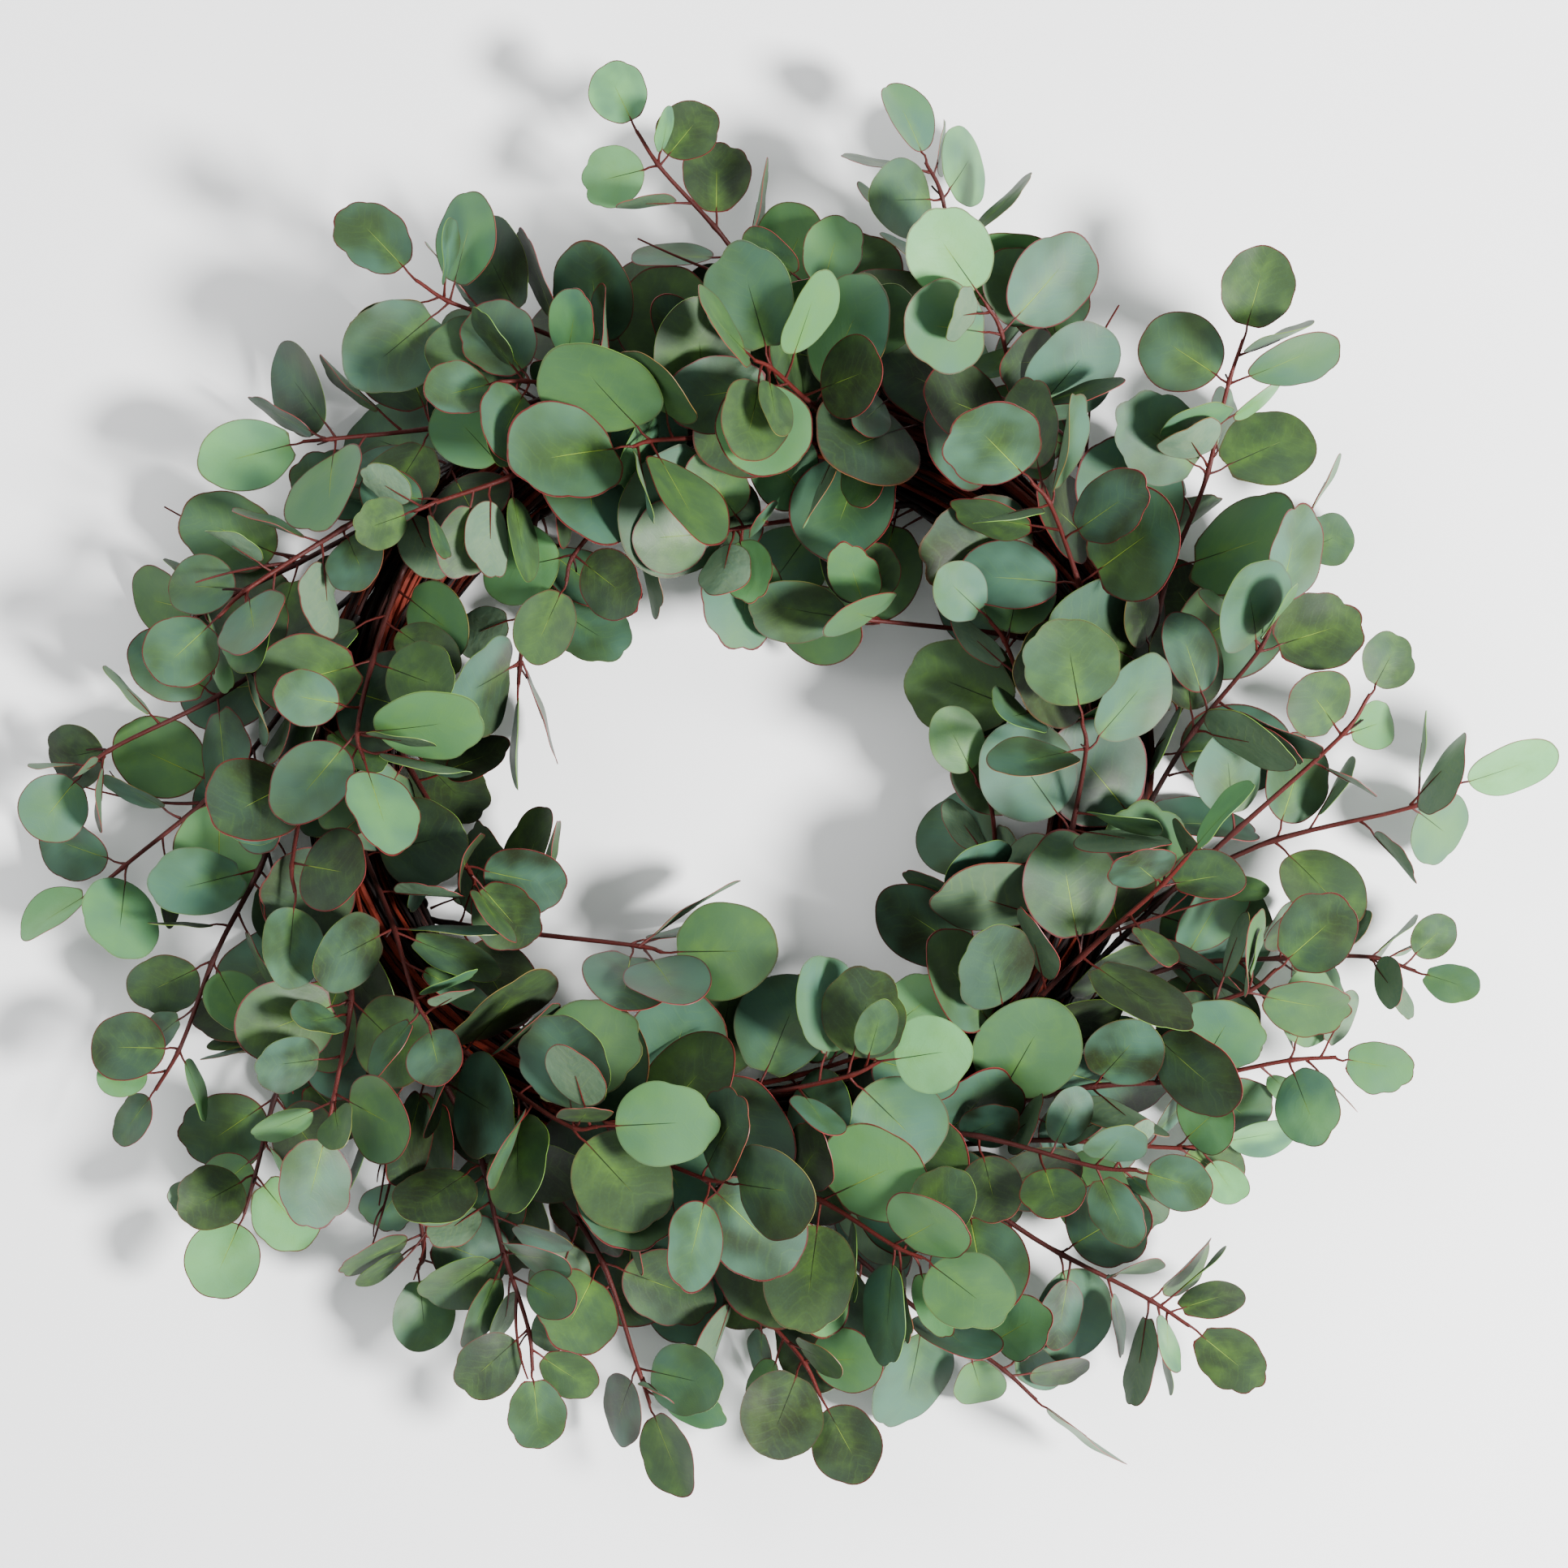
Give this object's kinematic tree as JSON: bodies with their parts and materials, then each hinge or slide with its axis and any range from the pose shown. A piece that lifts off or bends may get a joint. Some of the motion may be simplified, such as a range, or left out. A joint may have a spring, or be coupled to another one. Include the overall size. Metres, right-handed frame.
{
  "type": "eucalyptus wreath",
  "caption": "Eucalyptus wreath: round blue-green leaves on thin red-brown stems, tucked into a ring of wound twigs and sweeping one way round an open middle.",
  "frame": {"origin": "middle of the whole wreath's box, on the surface that the ring's back rests on", "axes": "+Z out of the wreath's face, towards who looks at it; +Y towards twelve o'clock; +X towards three o'clock"},
  "size_m": [0.7206, 0.6676, 0.1603],
  "materials": {
    "twigs": "matte",
    "leaves": "satin"
  },
  "bodies": {
    "root": {"twig_strand_1": "twigs", "twig_strand_2": "twigs", "twig_strand_3": "twigs", "twig_strand_4": "twigs", "twig_strand_5": "twigs", "twig_strand_6": "twigs", "twig_strand_7": "twigs", "spray_01": "leaves", "spray_02": "leaves", "spray_03": "leaves", "spray_04": "leaves", "spray_05": "leaves", "spray_06": "leaves", "spray_07": "leaves", "spray_08": "leaves", "spray_09": "leaves", "spray_10": "leaves", "spray_11": "leaves", "spray_12": "leaves", "spray_13": "leaves", "spray_14": "leaves", "spray_15": "leaves", "spray_16": "leaves", "spray_17": "leaves", "spray_18": "leaves", "spray_19": "leaves", "spray_20": "leaves", "spray_21": "leaves", "spray_22": "leaves", "spray_23": "leaves", "spray_24": "leaves", "spray_25": "leaves", "spray_26": "leaves", "spray_27": "leaves", "spray_28": "leaves", "spray_29": "leaves", "spray_30": "leaves", "spray_31": "leaves", "spray_32": "leaves", "spray_33": "leaves", "spray_34": "leaves", "spray_35": "leaves", "spray_36": "leaves", "spray_37": "leaves", "spray_38": "leaves", "spray_39": "leaves", "spray_40": "leaves", "spray_41": "leaves", "spray_42": "leaves", "spray_43": "leaves", "spray_44": "leaves", "spray_45": "leaves", "spray_46": "leaves", "spray_47": "leaves", "spray_48": "leaves", "spray_49": "leaves", "spray_50": "leaves", "spray_51": "leaves", "spray_52": "leaves", "spray_53": "leaves"}
  },
  "joints": []
}
